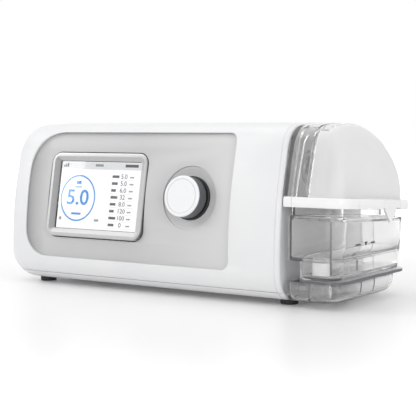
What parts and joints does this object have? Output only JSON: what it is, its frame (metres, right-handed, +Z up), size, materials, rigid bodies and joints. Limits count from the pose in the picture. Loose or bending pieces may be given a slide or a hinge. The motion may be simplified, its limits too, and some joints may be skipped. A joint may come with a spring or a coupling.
{
  "type": "bilevel pap machine",
  "caption": "Free-standing bilevel airway pressure machine with a colour display, a turn-and-push knob and a clear water chamber under a hinged domed lid.",
  "frame": {"origin": "centre of the whole machine's footprint box, on the surface that the feet stand on", "axes": "+X towards the water chamber, -Y towards the display's side, +Z up"},
  "size_m": [0.288, 0.1484, 0.1195],
  "materials": {
    "white_shell": "satin",
    "panel_grey": "matte",
    "bezel_grey": "satin",
    "display_glass": "gloss",
    "display_black": "gloss",
    "board_green": "matte",
    "knob_white": "gloss",
    "dark_grey": "satin",
    "black_plastic": "satin",
    "steel": "brushed",
    "brass_contact": "bare",
    "duct_grey": "matte",
    "foam": "open cell",
    "filter_fibre": "felt",
    "rubber": "matte",
    "clear_plastic": "clear",
    "frosted_plastic": "satin",
    "silicone": "matte",
    "heater_metal": "anodised"
  },
  "bodies": {
    "main_unit": {"upper_shell": "white_shell", "base_shell": "white_shell", "right_end_wall": "duct_grey", "front_panel": "panel_grey", "screen_bezel": "bezel_grey", "screen_window": "display_glass", "lcd_display": "display_black", "display_board": "board_green", "knob_dish": "panel_grey", "knob_ring": "black_plastic", "rotary_encoder": "steel", "encoder_board": "board_green", "main_board": "board_green", "board_standoffs": "brass_contact", "power_inlet": "black_plastic", "inlet_pins": "steel", "card_slot": "black_plastic", "hose_outlet": "white_shell", "outlet_duct": "duct_grey", "blower_housing": "duct_grey", "blower_cover": "duct_grey", "blower_motor": "steel", "blower_mounts": "rubber", "silencer_box": "duct_grey", "silencer_foam": "foam", "air_filter": "filter_fibre", "intake_hose": "duct_grey", "flow_sensor": "duct_grey", "port_seals": "silicone", "heater_contacts": "brass_contact", "contact_block": "black_plastic", "housing_screws": "steel", "feet": "rubber", "dock_tongues": "duct_grey"},
    "knob_plunger": {"knob_plunger": "steel"},
    "knob": {"knob_shaft": "steel", "knob_skirt": "dark_grey", "knob_cap": "knob_white"},
    "impeller": {"impeller": "duct_grey", "blower_shaft": "steel"},
    "filter_cover": {"filter_cover": "white_shell"},
    "card_cover": {"card_cover": "white_shell"},
    "chamber": {"chamber_tray": "clear_plastic", "heater_plate": "heater_metal", "water_tank": "clear_plastic", "tank_baffle": "clear_plastic", "float_cup": "frosted_plastic", "hinge_pins": "steel"},
    "lid": {"lid_rim": "frosted_plastic", "lid_gasket": "silicone", "lid_dome": "clear_plastic", "lid_arch": "clear_plastic"},
    "lid_latch": {"lid_latch": "frosted_plastic", "latch_pin": "steel"}
  },
  "joints": [
    {"name": "knob_push", "type": "slide", "parent": "main_unit", "child": "knob_plunger", "axis": [0, 0.9848, -0.1736], "range_m": [0, 0.0012], "stiffness_N_per_m": 2000, "springref_m": -0.0005},
    {"name": "knob_turn", "type": "hinge", "parent": "knob_plunger", "child": "knob", "pos_m": [0.027, -0.05482, 0.06798], "axis": [0, -0.9848, 0.1736], "continuous": true},
    {"name": "impeller_spin", "type": "hinge", "parent": "main_unit", "child": "impeller", "pos_m": [0.0275, -0.00123, 0.0895], "axis": [0, 0, 1], "continuous": true},
    {"name": "filter_cover_pull", "type": "slide", "parent": "main_unit", "child": "filter_cover", "axis": [0, 1, 0], "range_m": [0, 0.025]},
    {"name": "card_cover_pull", "type": "slide", "parent": "main_unit", "child": "card_cover", "axis": [-1, 0, 0], "range_m": [0, 0.015]},
    {"name": "chamber_slide", "type": "slide", "parent": "main_unit", "child": "chamber", "axis": [1, 0, 0], "range_m": [0, 0.06]},
    {"name": "lid_open", "type": "hinge", "parent": "chamber", "child": "lid", "pos_m": [0.12, 0.05097, 0.06221], "axis": [-1, 0, 0], "range_deg": [0, 95]},
    {"name": "latch_swing", "type": "hinge", "parent": "lid", "child": "lid_latch", "pos_m": [0.1427, 0.01214, 0.06612], "axis": [0, -0.9982, 0.0593], "range_deg": [0, 25]}
  ]
}
